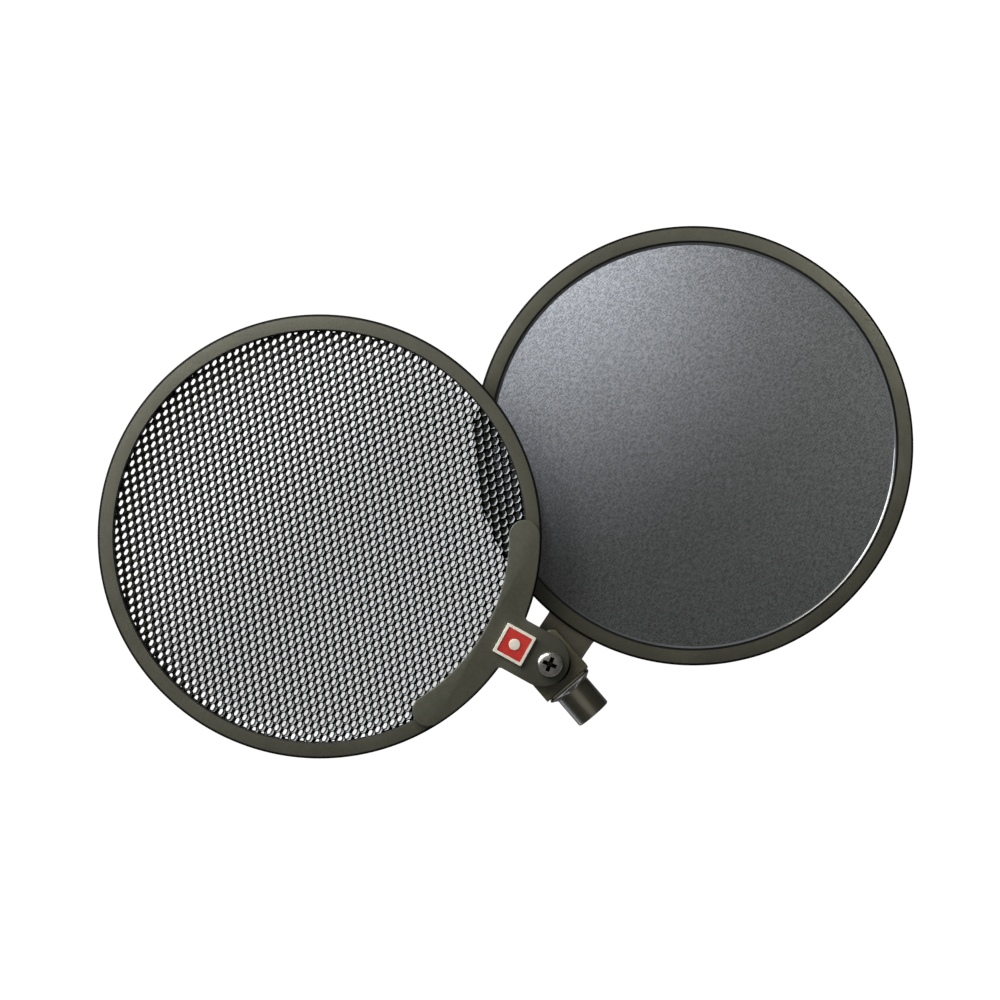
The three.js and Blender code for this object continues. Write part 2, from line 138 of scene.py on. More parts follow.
class Nodes:
    """Short calls for a material's nodes."""

    def __init__(self, name, **constants):
        self.name = name
        self.material = bpy.data.materials.new(name)
        self.material.use_nodes = True
        self.tree = self.material.node_tree
        self.shader = self.tree.nodes["Principled BSDF"]
        for socket, value in constants.items():
            self.shader.inputs[socket.replace("_", " ")].default_value = value
        self.place = self.add("ShaderNodeTexCoord").outputs["Object"]

    def add(self, kind, **settings):
        node = self.tree.nodes.new(kind)
        for key, value in settings.items():
            setattr(node, key, value)
        return node

    def put(self, value, socket):
        if isinstance(value, bpy.types.NodeSocket):
            self.tree.links.new(value, socket)
        else:
            socket.default_value = value

    def turned(self, angle):
        """The place in a frame turned about Z by an angle."""
        node = self.add("ShaderNodeMapping")
        self.put(self.place, node.inputs["Vector"])
        node.inputs["Rotation"].default_value = (0, 0, -angle)
        return node.outputs["Vector"]

    def vector(self, operation, a, b, output=0):
        node = self.add("ShaderNodeVectorMath", operation=operation)
        self.put(a, node.inputs[0])
        self.put(b, node.inputs[1])
        return node.outputs[output]

    def scaled(self, vector, scale):
        node = self.add("ShaderNodeVectorMath", operation="SCALE")
        self.put(vector, node.inputs[0])
        self.put(scale, node.inputs["Scale"])
        return node.outputs[0]

    def parts(self, vector):
        node = self.add("ShaderNodeSeparateXYZ")
        self.put(vector, node.inputs[0])
        return node.outputs

    def noise(self, scale, detail=3.0, roughness=0.55, place=None):
        node = self.add("ShaderNodeTexNoise")
        self.put(place or self.place, node.inputs["Vector"])
        node.inputs["Scale"].default_value = scale
        node.inputs["Detail"].default_value = detail
        node.inputs["Roughness"].default_value = roughness
        return node.outputs["Fac"]

    def cells(self, scale):
        node = self.add("ShaderNodeTexVoronoi")
        self.put(self.place, node.inputs["Vector"])
        node.inputs["Scale"].default_value = scale
        return node.outputs["Distance"]

    def math(self, operation, a, b=0.0, clamp=False):
        node = self.add("ShaderNodeMath", operation=operation, use_clamp=clamp)
        self.put(a, node.inputs[0])
        self.put(b, node.inputs[1])
        return node.outputs[0]

    def spread(self, value, low, high, to_low, to_high, smooth=False):
        node = self.add("ShaderNodeMapRange")
        if smooth:
            node.interpolation_type = "SMOOTHSTEP"
        for socket, given in zip(node.inputs, (value, low, high, to_low, to_high)):
            self.put(given, socket)
        return node.outputs["Result"]

    def blend(self, share, a, b):
        node = self.add("ShaderNodeMix", data_type="FLOAT")
        for socket, given in zip(node.inputs[:1] + node.inputs[2:4], (share, a, b)):
            self.put(given, socket)
        return node.outputs[0]

    def mix(self, share, a, b):
        node = self.add("ShaderNodeMix", data_type="RGBA")
        self.put(share, node.inputs["Factor"])
        self.put(a, node.inputs[6])
        self.put(b, node.inputs[7])
        return node.outputs[2]

    def bump(self, height, depth, strength=1.0):
        node = self.add("ShaderNodeBump")
        node.inputs["Strength"].default_value = strength
        node.inputs["Distance"].default_value = depth
        self.put(height, node.inputs["Height"])
        below = self.shader.inputs["Normal"]
        if below.is_linked:
            self.put(below.links[0].from_socket, node.inputs["Normal"])
        self.put(node.outputs["Normal"], below)


def colour(red, green, blue):
    return (red, green, blue, 1.0)


def painted(name, dark, light, roughness, grain, grain_depth, spread=0.12, **constants):
    """Black paint or moulded plastic: a fine grain, and broad soft changes of tone and gloss."""
    nodes = Nodes(name, **constants)
    broad = nodes.math("MULTIPLY", nodes.noise(38, 4), 0.65)
    fine = nodes.math("MULTIPLY", nodes.noise(900, 3), 0.35)
    tone = nodes.math("ADD", broad, fine)
    tone = nodes.spread(tone, 0.35, 0.65, 0.0, 1.0)
    nodes.put(nodes.mix(tone, dark, light), nodes.shader.inputs["Base Color"])
    gloss = nodes.noise(140, 4)
    gloss = nodes.spread(gloss, 0.3, 0.7, roughness - spread / 2, roughness + spread / 2)
    nodes.put(gloss, nodes.shader.inputs["Roughness"])
    nodes.bump(nodes.noise(grain, 2), grain_depth)
    return nodes


# Painted shade: a near-black colour laid into hollows, where shade falls.
HOLLOW_SHADE_COLOUR = colour(0.006, 0.006, 0.005)
HOLLOW_SHADE_REACH = 0.003  # how near the walls of a hollow are, in metres
MARK_DEPTH = 0.00002


def metal_finish(name, dark, light, roughness, marks, **constants):
    """Plated steel with fine turned marks, small dull spots, and painted shade in its hollows."""
    nodes = Nodes(name, Metallic=1.0, **constants)
    spots = nodes.noise(420, 4)
    tone = nodes.spread(spots, 0.35, 0.68, 0.0, 1.0)
    # Painted shade: the colour darkens where ambient occlusion finds walls near.
    hollow = nodes.add("ShaderNodeAmbientOcclusion", samples=8, only_local=True)
    hollow.inputs["Distance"].default_value = HOLLOW_SHADE_REACH
    hollow_shade = nodes.spread(hollow.outputs["AO"], 0.5, 0.85, 1.0, 0.0)
    metal = nodes.mix(tone, dark, light)
    nodes.put(nodes.mix(hollow_shade, metal, HOLLOW_SHADE_COLOUR), nodes.shader.inputs["Base Color"])
    dull = nodes.spread(nodes.noise(760, 3), 0.3, 0.7, roughness - 0.07, roughness + 0.1)
    nodes.put(dull, nodes.shader.inputs["Roughness"])
    nodes.bump(nodes.noise(marks, 2), MARK_DEPTH)
    return nodes


# Painted shade colour, for the rims' inner edges and outer corners.
PAINTED_SHADE_BLACK = colour(0.003, 0.003, 0.003)
INNER_EDGE_MARGIN = 0.0001


def screen_reach(nodes):
    """How far a place is from its screen's axis, and 1 where that is the metal screen's."""
    flat_place = nodes.vector("MULTIPLY", nodes.place, (1, 1, 0))
    reaches = []
    for screen in (METAL_SCREEN, FABRIC_SCREEN):
        centre = screen.translation
        reaches.append(nodes.vector("DISTANCE", flat_place, (centre.x, centre.y, 0), 1))
    in_front = nodes.math("GREATER_THAN", nodes.parts(nodes.place)["Z"], 0)
    return nodes.blend(in_front, reaches[1], reaches[0]), in_front


def rim_plastic():
    """Moulded black plastic. The inner edge is painted near-black, as painted shade."""
    nodes = painted(
        "rim_plastic", colour(0.038, 0.038, 0.027), colour(0.06, 0.06, 0.043), 0.46, 3200, 0.00009
    )
    reach, in_front = screen_reach(nodes)
    # Painted shade: inside the face's inner edge, and in a beaded rim's groove, the colour is
    # near-black.
    face_start = nodes.blend(in_front, GROOVE_OUTER * MM, (RIM_INNER + LIP_WIDTH) * MM)
    inside = nodes.math("LESS_THAN", reach, nodes.math("ADD", face_start, INNER_EDGE_MARGIN))
    plain = nodes.shader.inputs["Base Color"].links[0].from_socket
    nodes.put(nodes.mix(inside, plain, PAINTED_SHADE_BLACK), nodes.shader.inputs["Base Color"])
    return nodes


CRESCENT_PAINTED_LIGHT = 1.85  # painted light: how much paler the crescent's paint is, when the arm's is 1
PAINTED_LIGHT_FADE = 12  # from the rim to where the arm's own colour starts


def arm_paint():
    """Black paint, with painted light that makes the crescent paler than the arm."""
    nodes = painted(
        "arm_paint", colour(0.026, 0.0265, 0.019), colour(0.042, 0.0425, 0.031), 0.44, 3600, 0.00008
    )
    reach = screen_reach(nodes)[0]
    fade_end = (RIM_OUTER + PAINTED_LIGHT_FADE) * MM
    # Painted light: the colour is scaled up near the rim, fading towards the arm.
    share = nodes.spread(reach, RIM_OUTER * MM, fade_end, CRESCENT_PAINTED_LIGHT, 1.0, smooth=True)
    base = nodes.shader.inputs["Base Color"]
    nodes.put(nodes.scaled(base.links[0].from_socket, share), base)
    return nodes


def mesh_lacquer():
    """Glossy black lacquer that has run a little."""
    nodes = Nodes("mesh_lacquer", Coat_Weight=0.35, Coat_Roughness=0.14, Specular_IOR_Level=0.35)
    broad = nodes.noise(26, 4)
    runs = nodes.noise(520, 3)
    tone = nodes.spread(nodes.math("MULTIPLY", broad, runs), 0.16, 0.34, 0.0, 1.0)
    paint = nodes.mix(tone, colour(0.003, 0.003, 0.0025), colour(0.008, 0.0075, 0.006))
    nodes.put(paint, nodes.shader.inputs["Base Color"])
    nodes.put(
        nodes.spread(nodes.noise(900, 3), 0.3, 0.7, 0.2, 0.36), nodes.shader.inputs["Roughness"]
    )
    nodes.bump(runs, 0.00006)
    return nodes


def enamel(name, dark, light):
    nodes = Nodes(name, Coat_Weight=0.15, Coat_Roughness=0.12)
    tone = nodes.spread(nodes.noise(600, 4), 0.35, 0.65, 0.0, 1.0)
    nodes.put(nodes.mix(tone, dark, light), nodes.shader.inputs["Base Color"])
    nodes.put(
        nodes.spread(nodes.noise(1500, 3), 0.3, 0.7, 0.3, 0.45), nodes.shader.inputs["Roughness"]
    )
    nodes.bump(nodes.noise(1800, 2), 0.00003)
    return nodes


THREAD_PITCH = 0.00037  # in metres, like all lengths in materials
RIB_PITCH = 0.00084
RIB_SHARE = 0.32
WEAVE_TURN = math.radians(2)  # of the ribs in the row's frame
SLUBS = (420, 2300, 1)  # how fine the uneven threads are along and across the ribs
PICKS = (2300, 650, 1)
PATCHES = (260, 700, 1)
GRAIN = 2600
CLOTH_DARK = colour(0.022, 0.0235, 0.0245)
CLOTH_LIGHT = colour(0.084, 0.0875, 0.0925)


def woven_fabric():
    """A fine weave with soft ribs, slubs and pinholes."""
    nodes = Nodes("woven_fabric", Sheen_Weight=0.5, Sheen_Roughness=0.4)

    def uneven(scale):
        return nodes.noise(1, 3, 0.7, nodes.vector("MULTIPLY", turned_place, scale))

    drift = nodes.add("ShaderNodeTexNoise")
    nodes.put(nodes.place, drift.inputs["Vector"])
    drift.inputs["Scale"].default_value = 160
    wander = nodes.vector("MULTIPLY", drift.outputs["Color"], (RIB_PITCH,) * 3)
    turned_place = nodes.turned(WEAVE_TURN)
    moved = nodes.parts(nodes.vector("ADD", turned_place, wander))
    along = nodes.math("MULTIPLY", moved["X"], math.pi / THREAD_PITCH)
    across = nodes.math("MULTIPLY", moved["Y"], math.pi / THREAD_PITCH)
    # Each set of threads is round across its width, and passes over and under the other set.
    warp = nodes.math("ABSOLUTE", nodes.math("SINE", across))
    weft = nodes.math("ABSOLUTE", nodes.math("SINE", along))
    over = nodes.math("MULTIPLY", nodes.math("COSINE", across), nodes.math("COSINE", along))
    weave = nodes.blend(nodes.spread(over, -0.25, 0.25, 0.0, 1.0, smooth=True), warp, weft)
    rib = nodes.math("SINE", nodes.math("MULTIPLY", moved["Y"], TURN / RIB_PITCH))
    patches = nodes.noise(1, 2, 0.5, nodes.vector("MULTIPLY", turned_place, PATCHES))
    rib = nodes.math("MULTIPLY", rib, nodes.spread(patches, 0.35, 0.65, 0.1, 1.0))
    tone = nodes.math("MULTIPLY", rib, RIB_SHARE)
    for unevenness, share in ((uneven(SLUBS), 6.5), (uneven(PICKS), 5.5),
                              (nodes.noise(GRAIN, 1, 0.5, turned_place), 4.5),
                              (nodes.noise(55, 4), 0.5)):
        change = nodes.math("MULTIPLY", nodes.math("SUBTRACT", unevenness, 0.5), share)
        tone = nodes.math("ADD", tone, change)
    tone = nodes.math("ADD", tone, 0.5, clamp=True)
    thread = nodes.mix(tone, CLOTH_DARK, CLOTH_LIGHT)
    pinholes = nodes.spread(nodes.cells(820), 0.12, 0.34, 0.45, 1.0, smooth=True)
    gaps = nodes.math("MULTIPLY", nodes.spread(weave, 0.0, 0.75, 0.6, 1.0), pinholes)
    nodes.put(nodes.scaled(thread, gaps), nodes.shader.inputs["Base Color"])
    nodes.put(nodes.spread(tone, 0.0, 1.0, 0.5, 0.66), nodes.shader.inputs["Roughness"])
    nodes.bump(weave, 0.0001, 0.8)
    nodes.bump(rib, 0.00005, 0.6)
    return nodes


MATERIALS = {
    nodes.name: nodes.material
    for nodes in (
        rim_plastic(),
        arm_paint(),
        mesh_lacquer(),
        woven_fabric(),
        # Painted shade: near-black with little shine, for the rims' outer corners.
        painted("painted_shade_edge", PAINTED_SHADE_BLACK, colour(0.006, 0.006, 0.005), 0.6, 3200, 0.00004,
                Specular_IOR_Level=0.1),
        painted("bead_gloss", colour(0.06, 0.064, 0.07), colour(0.09, 0.095, 0.102), 0.12, 3200,
                0.000008, spread=0.04, Coat_Weight=0.6, Coat_Roughness=0.05),
        painted("block_paint", colour(0.046, 0.044, 0.026), colour(0.092, 0.086, 0.052), 0.42,
                4600, 0.00004),
        painted("gloss_black", colour(0.012, 0.012, 0.008), colour(0.022, 0.02, 0.012), 0.34,
                2600, 0.00001, spread=0.1, Coat_Weight=0.12, Coat_Roughness=0.15),
        painted("black_nylon", colour(0.012, 0.012, 0.012), colour(0.02, 0.02, 0.02), 0.55, 6000,
                0.00003),
        painted("hoop_plastic", colour(0.014, 0.014, 0.014), colour(0.022, 0.022, 0.022), 0.5,
                5000, 0.00003),
        enamel("cream_enamel", colour(0.66, 0.62, 0.54), colour(0.78, 0.74, 0.66)),
        enamel("red_enamel", colour(0.42, 0.02, 0.016), colour(0.52, 0.032, 0.025)),
        metal_finish("dark_steel", colour(0.3, 0.3, 0.285), colour(0.5, 0.49, 0.46), 0.27, 3000),
        metal_finish("zinc_steel", colour(0.42, 0.43, 0.44), colour(0.58, 0.59, 0.6), 0.33, 3400),
    )
}

# ---- Mesh helpers, in mm ----

SHARP = math.radians(32)
EDGE_STEPS = 4  # of a rounded edge


def piece(name, vertices, faces, place, body, slot, nodes=()):
    """A smooth-shaded piece in its final place, riding on a CAD body."""
    mesh = bpy.data.meshes.new(name)
    mesh.from_pydata(np.asarray(vertices, float) * MM, [], faces)
    mesh.transform(place)
    mesh.update()
    mesh.shade_smooth()
    mesh.set_sharp_from_angle(angle=SHARP)
    mesh.materials.append(MATERIALS[slot])
    obj = bpy.data.objects.new(name, mesh)
    bpy.context.scene.collection.objects.link(obj)
    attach(obj, body)
    if nodes:
        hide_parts(*nodes)
    return obj


class Solid:
    """Vertices and faces that several shapes are added to."""

    def __init__(self):
        self.vertices = []
        self.faces = []

    def add(self, vertices, faces, move=None):
        start = len(self.vertices)
        points = [Vector(v) for v in vertices]
        self.vertices += [move @ v if move else v for v in points]
        self.faces += [[start + i for i in face] for face in faces]
        return self

    def make(self, name, place, body, slot, nodes=()):
        points = [tuple(v) for v in self.vertices]
        return piece(name, points, self.faces, place, body, slot, nodes)


def arc(x, y, radius, start, end, steps):
    """Points of an arc, both ends included."""
    angles = [start + (end - start) * i / steps for i in range(steps + 1)]
    return [(x + radius * math.cos(a), y + radius * math.sin(a)) for a in angles]


def rounded(corners, steps=5):
    """A closed outline of (x, y, corner radius) with its corners rounded."""
    points = []
    count = len(corners)
    for i, (x, y, radius) in enumerate(corners):
        here = Vector((x, y))
        if radius == 0:
            points.append((x, y))
            continue
        before = (Vector(corners[i - 1][:2]) - here).normalized()
        after = (Vector(corners[(i + 1) % count][:2]) - here).normalized()
        half = before.angle(after) / 2
        cut = radius / math.tan(half)
        centre = here + (before + after).normalized() * radius / math.sin(half)
        first = here + before * cut - centre
        last = here + after * cut - centre
        sweep = math.atan2(first.x * last.y - first.y * last.x, first.dot(last))
        start = math.atan2(first.y, first.x)
        points += arc(centre.x, centre.y, radius, start, start + sweep, steps)
    return points


def turned(profile, sides, closed=True):
    """A profile of (radius, height) turned about Z. An open one starts and ends on the axis."""
    vertices, rows = [], []
    for radius, height in profile:
        if radius == 0:
            rows.append([len(vertices)] * sides)
            vertices.append((0, 0, height))
            continue
        rows.append([len(vertices) + i for i in range(sides)])
        for i in range(sides):
            angle = TURN * i / sides
            vertices.append((radius * math.cos(angle), radius * math.sin(angle), height))
    faces = []
    pairs = list(zip(rows, rows[1:]))
    if closed:
        pairs.append((rows[-1], rows[0]))
    for a, b in pairs:
        for i in range(sides):
            j = (i + 1) % sides
            face = [a[i], a[j], b[j], b[i]]
            faces.append([v for k, v in enumerate(face) if v != face[k - 1]])
    return vertices, faces


def offset(outline, distance):
    """An outline moved inward, to its left, by a distance."""
    points = np.array(outline)
    along = np.roll(points, -1, 0) - points
    along /= np.linalg.norm(along, axis=1)[:, None]
    before = np.roll(along, 1, 0)
    normal = np.stack([-(along + before)[:, 1], (along + before)[:, 0]], 1)
    normal /= (1 + (along * before).sum(1))[:, None]
    return points + normal * distance


def slab(outline, low, high, edge, holes=()):
    """An outline (anticlockwise) drawn up, with its outer edges rounded.
    holes are (outline, depth): depth None goes through, and a number is a blind hole from below."""
    vertices, faces = [], []

    def loop(points, height):
        start = len(vertices)
        vertices.extend((x, y, height) for x, y in points)
        return list(range(start, start + len(points)))

    def wall(a, b, flip=False):
        count = len(a)
        for i in range(count):
            j = (i + 1) % count
            face = [a[i], a[j], b[j], b[i]]
            faces.append(face[::-1] if flip else face)

    def cap(loops, up):
        flat = [index for each in loops for index in each]
        polygons = [[Vector((vertices[i][0], vertices[i][1], 0)) for i in each] for each in loops]
        for triangle in tessellate_polygon(polygons):
            a, b, c = (Vector(vertices[flat[i]]) for i in triangle)
            face = [flat[i] for i in triangle]
            anticlockwise = (b - a).cross(c - a).z > 0
            faces.append(face if anticlockwise == up else face[::-1])

    quarter = [math.pi / 2 * i / EDGE_STEPS for i in range(EDGE_STEPS + 1)]
    levels = [(edge * (1 - math.sin(a)), low + edge * (1 - math.cos(a))) for a in quarter]
    levels += [(edge * (1 - math.cos(a)), high - edge * (1 - math.sin(a))) for a in quarter]
    loops = [loop(offset(outline, inset), height) for inset, height in levels]
    for a, b in zip(loops, loops[1:]):
        wall(a, b)
    bottoms, tops = [loops[0]], [loops[-1]]
    for points, depth in holes:
        mouth = loop(points, low)
        end = loop(points, high if depth is None else low + depth)
        wall(mouth, end, flip=True)
        bottoms.append(mouth)
        if depth is None:
            tops.append(end)
        else:
            cap([end], False)
    cap(bottoms, False)
    cap(tops, True)
    return vertices, faces


def circle(radius, sides, x=0.0, y=0.0):
    return [
        (x + radius * math.cos(TURN * i / sides), y + radius * math.sin(TURN * i / sides))
        for i in range(sides)
    ]


def regular(sides, radius, corner, steps=4):
    """A regular polygon with rounded corners."""
    return rounded([(x, y, corner) for x, y in circle(radius, sides)], steps)


# ---- Rims ----

MESH_SEAT = 1.2
CLOTH_HALF = 0.18
CLOTH_FRONT = 1.2  # how far the cloth stands in front of its rims' middle, on the hoop
CLOTH_SEAT = CLOTH_HALF + 0.03
CORNER_STEPS = 6


def rim_profile(seat, height, beaded):
    """The section of a rim that stands on the screen. A beaded one has a groove beside its bead."""
    outside = [
        (SEAT_WALL, seat, 0),
        (SEAT_WALL, SEAM, 0),
        (RIM_OUTER, SEAM, 0.12),
        (RIM_OUTER, height - EDGE_DEPTH, 0),
        (RIM_OUTER - EDGE_WIDTH, height - EDGE_DEPTH, 0),
        (RIM_OUTER - EDGE_WIDTH, height, 0.05),
    ]
    if not beaded:
        inside = [(RIM_INNER + LIP_WIDTH, height, 0.15), (RIM_INNER, height - LIP_DROP, 0.12)]
        return rounded([(RIM_INNER, seat, 0.1)] + outside + inside, CORNER_STEPS)
    groove = seat + GROOVE_FLOOR
    inside = [(GROOVE_OUTER, height, 0.1), (GROOVE_OUTER, groove, 0), (BEAD_OUTER, groove, 0)]
    return rounded([(BEAD_OUTER, seat, 0)] + outside + inside, CORNER_STEPS)


def rim_half(name, place, body, seat, height, below, node, beaded=False):
    """A rim from the screen's plane outward. With its other half it is twice RIM_HALF deep."""

    def ring(part, profile, slot, nodes=()):
        shape = turned(profile, RIM_SIDES)
        Solid().add(*shape, move).make(name + part, place, body, slot, nodes)

    middle = height - RIM_HALF
    move = Matrix.Translation((0, 0, middle if below else -middle))
    if below:
        move = move @ Matrix.Rotation(math.pi, 4, "X")
    start = RIM_OUTER - EDGE_WIDTH
    foot = height - EDGE_DEPTH
    edge = [
        (start, foot, 0),
        (RIM_OUTER, foot, 0),
        (RIM_OUTER, height, EDGE_ROUND),
        (start, height, 0.05),
    ]
    # A ring of painted shade on the outer corner.
    ring("_edge", rounded(edge, CORNER_STEPS), "painted_shade_edge")
    if beaded:
        bead = [
            (BEAD_INNER, seat, 0),
            (BEAD_OUTER, seat, 0),
            (BEAD_OUTER, seat + BEAD_RISE, 0.08),
            (BEAD_INNER, seat + BEAD_FOOT, 0.05),
        ]
        ring("_bead", rounded(bead, CORNER_STEPS), "bead_gloss")
    ring("", rim_profile(seat, height, beaded), "rim_plastic", [node])


for front_or_rear, below in (("front", False), ("rear", True)):
    rim_half(f"metal_{front_or_rear}_rim", METAL_SCREEN, "metal_filter", MESH_SEAT, RIM_HALF, below,
             f"metal_filter_{front_or_rear}_rim")
# The fabric screen is turned over, so its rear rim is above its plane.
rim_half("fabric_rear_rim", FABRIC_SCREEN, "fabric_filter", CLOTH_SEAT, RIM_HALF + CLOTH_FRONT,
         False, "fabric_filter_rear_rim")
rim_half("fabric_front_rim", FABRIC_SCREEN, "fabric_filter", CLOTH_SEAT, RIM_HALF - CLOTH_FRONT,
         True, "fabric_filter_front_rim", beaded=True)

# ---- Expanded metal ----

ROW_PITCH = 1.75  # half of a diamond's short way
CELL_LENGTH = 5.0  # a diamond's long way
STRAND_WIDTH = 0.98
STRAND_THICKNESS = 1.48
STRAND_OVERLAP = 0.015  # added to each side, so that two rows overlap at a bond
# A strand's corners, as shares of its half width and half thickness. One corner is cut off.
STRAND_CORNERS = ((1, 1), (-1, 1), (-1, -0.4), (-0.72, -1), (1, -1))
STRAND_TILT = math.radians(52)
BOND_SHARE = 0.27  # of a cell's length, where two rows are joined
SLOPE_END = 0.1  # where a strand starts and ends its slope, as a share of it
SLOPE_SIDE = 0.86
MESH_EDGE = 79.2


def strand_wave():
    """Places along one cell, and the strand's side there, from -1 to 1."""
    half_bond = BOND_SHARE / 2
    slope = 0.5 - BOND_SHARE
    places, sides = [], []
    for start, sign in ((-half_bond, 1), (0.5 - half_bond, -1)):
        places += [start, start + BOND_SHARE]
        sides += [sign, sign]
        for step, turn in ((SLOPE_END, 1), (1 - SLOPE_END, -1)):
            places.append(start + BOND_SHARE + slope * step)
            sides.append(sign * turn * SLOPE_SIDE)
    return np.array(places), np.array(sides)


def expanded_metal():
    """Rows of slit and stretched sheet. Each row leans, and touches the rows beside it in turn."""
    lean = np.array([math.cos(STRAND_TILT), -math.sin(STRAND_TILT)])
    normal = np.array([math.sin(STRAND_TILT), math.cos(STRAND_TILT)])
    sideways = ROW_PITCH / 2 - STRAND_WIDTH / 2 * lean[0]
    upward = STRAND_WIDTH / 2 * -lean[1]
    corners = [lean * a * (STRAND_WIDTH / 2 + STRAND_OVERLAP) + normal * b * STRAND_THICKNESS / 2
               for a, b in STRAND_CORNERS]
    sides_of_strand = len(corners)
    places, sides = strand_wave()
    rows = int(MESH_EDGE / ROW_PITCH)
    all_points, all_faces, start = [], [], 0
    for row in range(-rows, rows + 1):
        across = row * ROW_PITCH
        reach = math.sqrt(MESH_EDGE ** 2 - across ** 2)
        cells = int(reach / CELL_LENGTH) + 2
        shift = 0.5 if row % 2 else 0.0
        turns = np.concatenate([places + shift + cell for cell in range(-cells, cells + 1)])
        wave = np.tile(sides, 2 * cells + 1)
        along = turns * CELL_LENGTH
        order = np.argsort(along)
        along, wave = along[order], wave[order]
        inside = np.abs(along) < reach
        ends = np.array([-reach, reach])
        wave = np.concatenate([[np.interp(ends[0], along, wave)], wave[inside],
                               [np.interp(ends[1], along, wave)]])
        along = np.concatenate([ends[:1], along[inside], ends[1:]])
        count = len(along)
        if count < 3:
            continue
        centre_s = across + sideways * wave
        centre_z = upward * wave
        block = np.empty((count, sides_of_strand, 3))
        for k, (s, z) in enumerate(corners):
            block[:, k, 0] = along
            block[:, k, 1] = -(centre_s + s)
            block[:, k, 2] = centre_z + z
        all_points.append(block.reshape(-1, 3))
        first = start + sides_of_strand * np.arange(count - 1)
        after = first + sides_of_strand
        for k in range(sides_of_strand):
            other = (k + 1) % sides_of_strand
            all_faces += np.stack([first + k, first + other, after + other, after + k], 1).tolist()
        end = start + sides_of_strand * count
        all_faces.append(list(range(start, start + sides_of_strand))[::-1])
        all_faces.append(list(range(end - sides_of_strand, end)))
        start = end
    return np.concatenate(all_points), all_faces


strands, strand_faces = expanded_metal()
piece("expanded_mesh", strands, strand_faces, METAL_SCREEN, "metal_filter", "mesh_lacquer",
      ["metal_mesh"])

# ---- Fabric ----

FABRIC_RADIUS = 79.3
CLOTH_RINGS = 60
CLOTH_SIDES = 240
HOOP_INNER = 77.7
HOOP_LOW = 0.2
HOOP_HIGH = 1.6
CLOTH_PLACE = FABRIC_SCREEN @ Matrix.Translation((0, 0, -CLOTH_FRONT * MM))


def fabric_disc():
    """A taut cloth disc with two faces."""
    radii = [FABRIC_RADIUS * i / CLOTH_RINGS for i in range(CLOTH_RINGS + 1)]
    top = [(r, CLOTH_HALF) for r in radii[::-1]]
    bottom = [(r, -CLOTH_HALF) for r in radii]
    return turned(bottom + top, CLOTH_SIDES, closed=False)


cloth_points, cloth_faces = fabric_disc()
cloth = piece("fabric_membrane_cloth", cloth_points, cloth_faces, CLOTH_PLACE, "fabric_filter",
              "woven_fabric", ["fabric_membrane"])

hoop_profile = rounded([
    (HOOP_INNER, HOOP_LOW, 0.15),
    (FABRIC_RADIUS, HOOP_LOW, 0.15),
    (FABRIC_RADIUS, HOOP_HIGH, 0.3),
    (HOOP_INNER, HOOP_HIGH, 0.3),
], 4)
Solid().add(*turned(hoop_profile, CLOTH_SIDES)).make(
    "fabric_hoop_ring", CLOTH_PLACE, "fabric_filter", "hoop_plastic", ["fabric_hoop"])

# ---- Brackets ----

ARM_HALF = 10.0
ARM_END_OFFSET = 3.0
ARM_FILLET = 2.0
CRESCENT_OUTER = 81.8
CRESCENT_WIDTH = 11.5
CRESCENT_HALF_ANGLE = math.radians(29.2)
ARM_LOW = level("metal_filter_front_rim", 1)
ARM_HIGH = level("metal_filter_bracket", 1)
ARM_EDGE = 0.4
SCREW_HOLE = circle(2.6, 40)
SAME_POINT = 1e-3


def bracket_outline():
    """A straight arm with a round end over the pivot, and a crescent with round ends on the rim."""
    fillet_x = ARM_HALF + ARM_FILLET
    fillet_y = REACH - math.sqrt((CRESCENT_OUTER + ARM_FILLET) ** 2 - fillet_x ** 2)
    lean = math.atan2(fillet_x, REACH - fillet_y)
    down = -math.pi / 2
    reach = CRESCENT_HALF_ANGLE
    middle = CRESCENT_OUTER - CRESCENT_WIDTH / 2
    inner = CRESCENT_OUTER - CRESCENT_WIDTH
    end = CRESCENT_WIDTH / 2
    end_x, end_y = middle * math.sin(reach), REACH - middle * math.cos(reach)
    parts = [
        arc(0, ARM_END_OFFSET, ARM_HALF, math.pi, TURN, 40),
        arc(fillet_x, fillet_y, ARM_FILLET, math.pi, math.pi / 2 + lean, 8),
        arc(0, REACH, CRESCENT_OUTER, down + lean, down + reach, 30),
        arc(end_x, end_y, end, down + reach, down + reach + math.pi, 24),
        arc(0, REACH, inner, down + reach, down - reach, 70),
        arc(-end_x, end_y, end, math.pi + down - reach, TURN + down - reach, 24),
        arc(0, REACH, CRESCENT_OUTER, down - reach, down - lean, 30),
        arc(-fillet_x, fillet_y, ARM_FILLET, math.pi / 2 - lean, 0, 8),
    ]
    points = [point for part in parts for point in part]
    return [here for here, after in zip(points, points[1:] + points[:1])
            if math.dist(here, after) > SAME_POINT]


def bracket(name, place, body, node):
    shape = slab(bracket_outline(), ARM_LOW, ARM_HIGH, ARM_EDGE, [(SCREW_HOLE, None)])
    return Solid().add(*shape).make(name, place, body, "arm_paint", [node])


bracket("metal_bracket_arm", METAL, "metal_filter", "metal_filter_bracket")
bracket("fabric_bracket_arm", FABRIC, "fabric_filter", "fabric_filter_bracket")

# ---- Badge: a plate with a raised border and boss, and a plain enamel field between them ----

badge_low, badge_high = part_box("badge_plate")
BADGE_Y = ((badge_low + badge_high) / 2 - pivot).to_2d().length / MM
BADGE_TOP = level("badge_plate", 1)
BADGE_FLOOR = BADGE_TOP - 0.45
BADGE_FIELD_THICKNESS = 0.22
BADGE_OUTLINE_HALF = 6.0
BADGE_FIELD_HALF = 4.9
BADGE_EDGE = 0.12
BADGE_BOSS = circle(2.1, 48)


def square(half, corner):
    corners = [(-half, -half), (half, -half), (half, half), (-half, half)]
    return rounded([(x, y, corner) for x, y in corners])


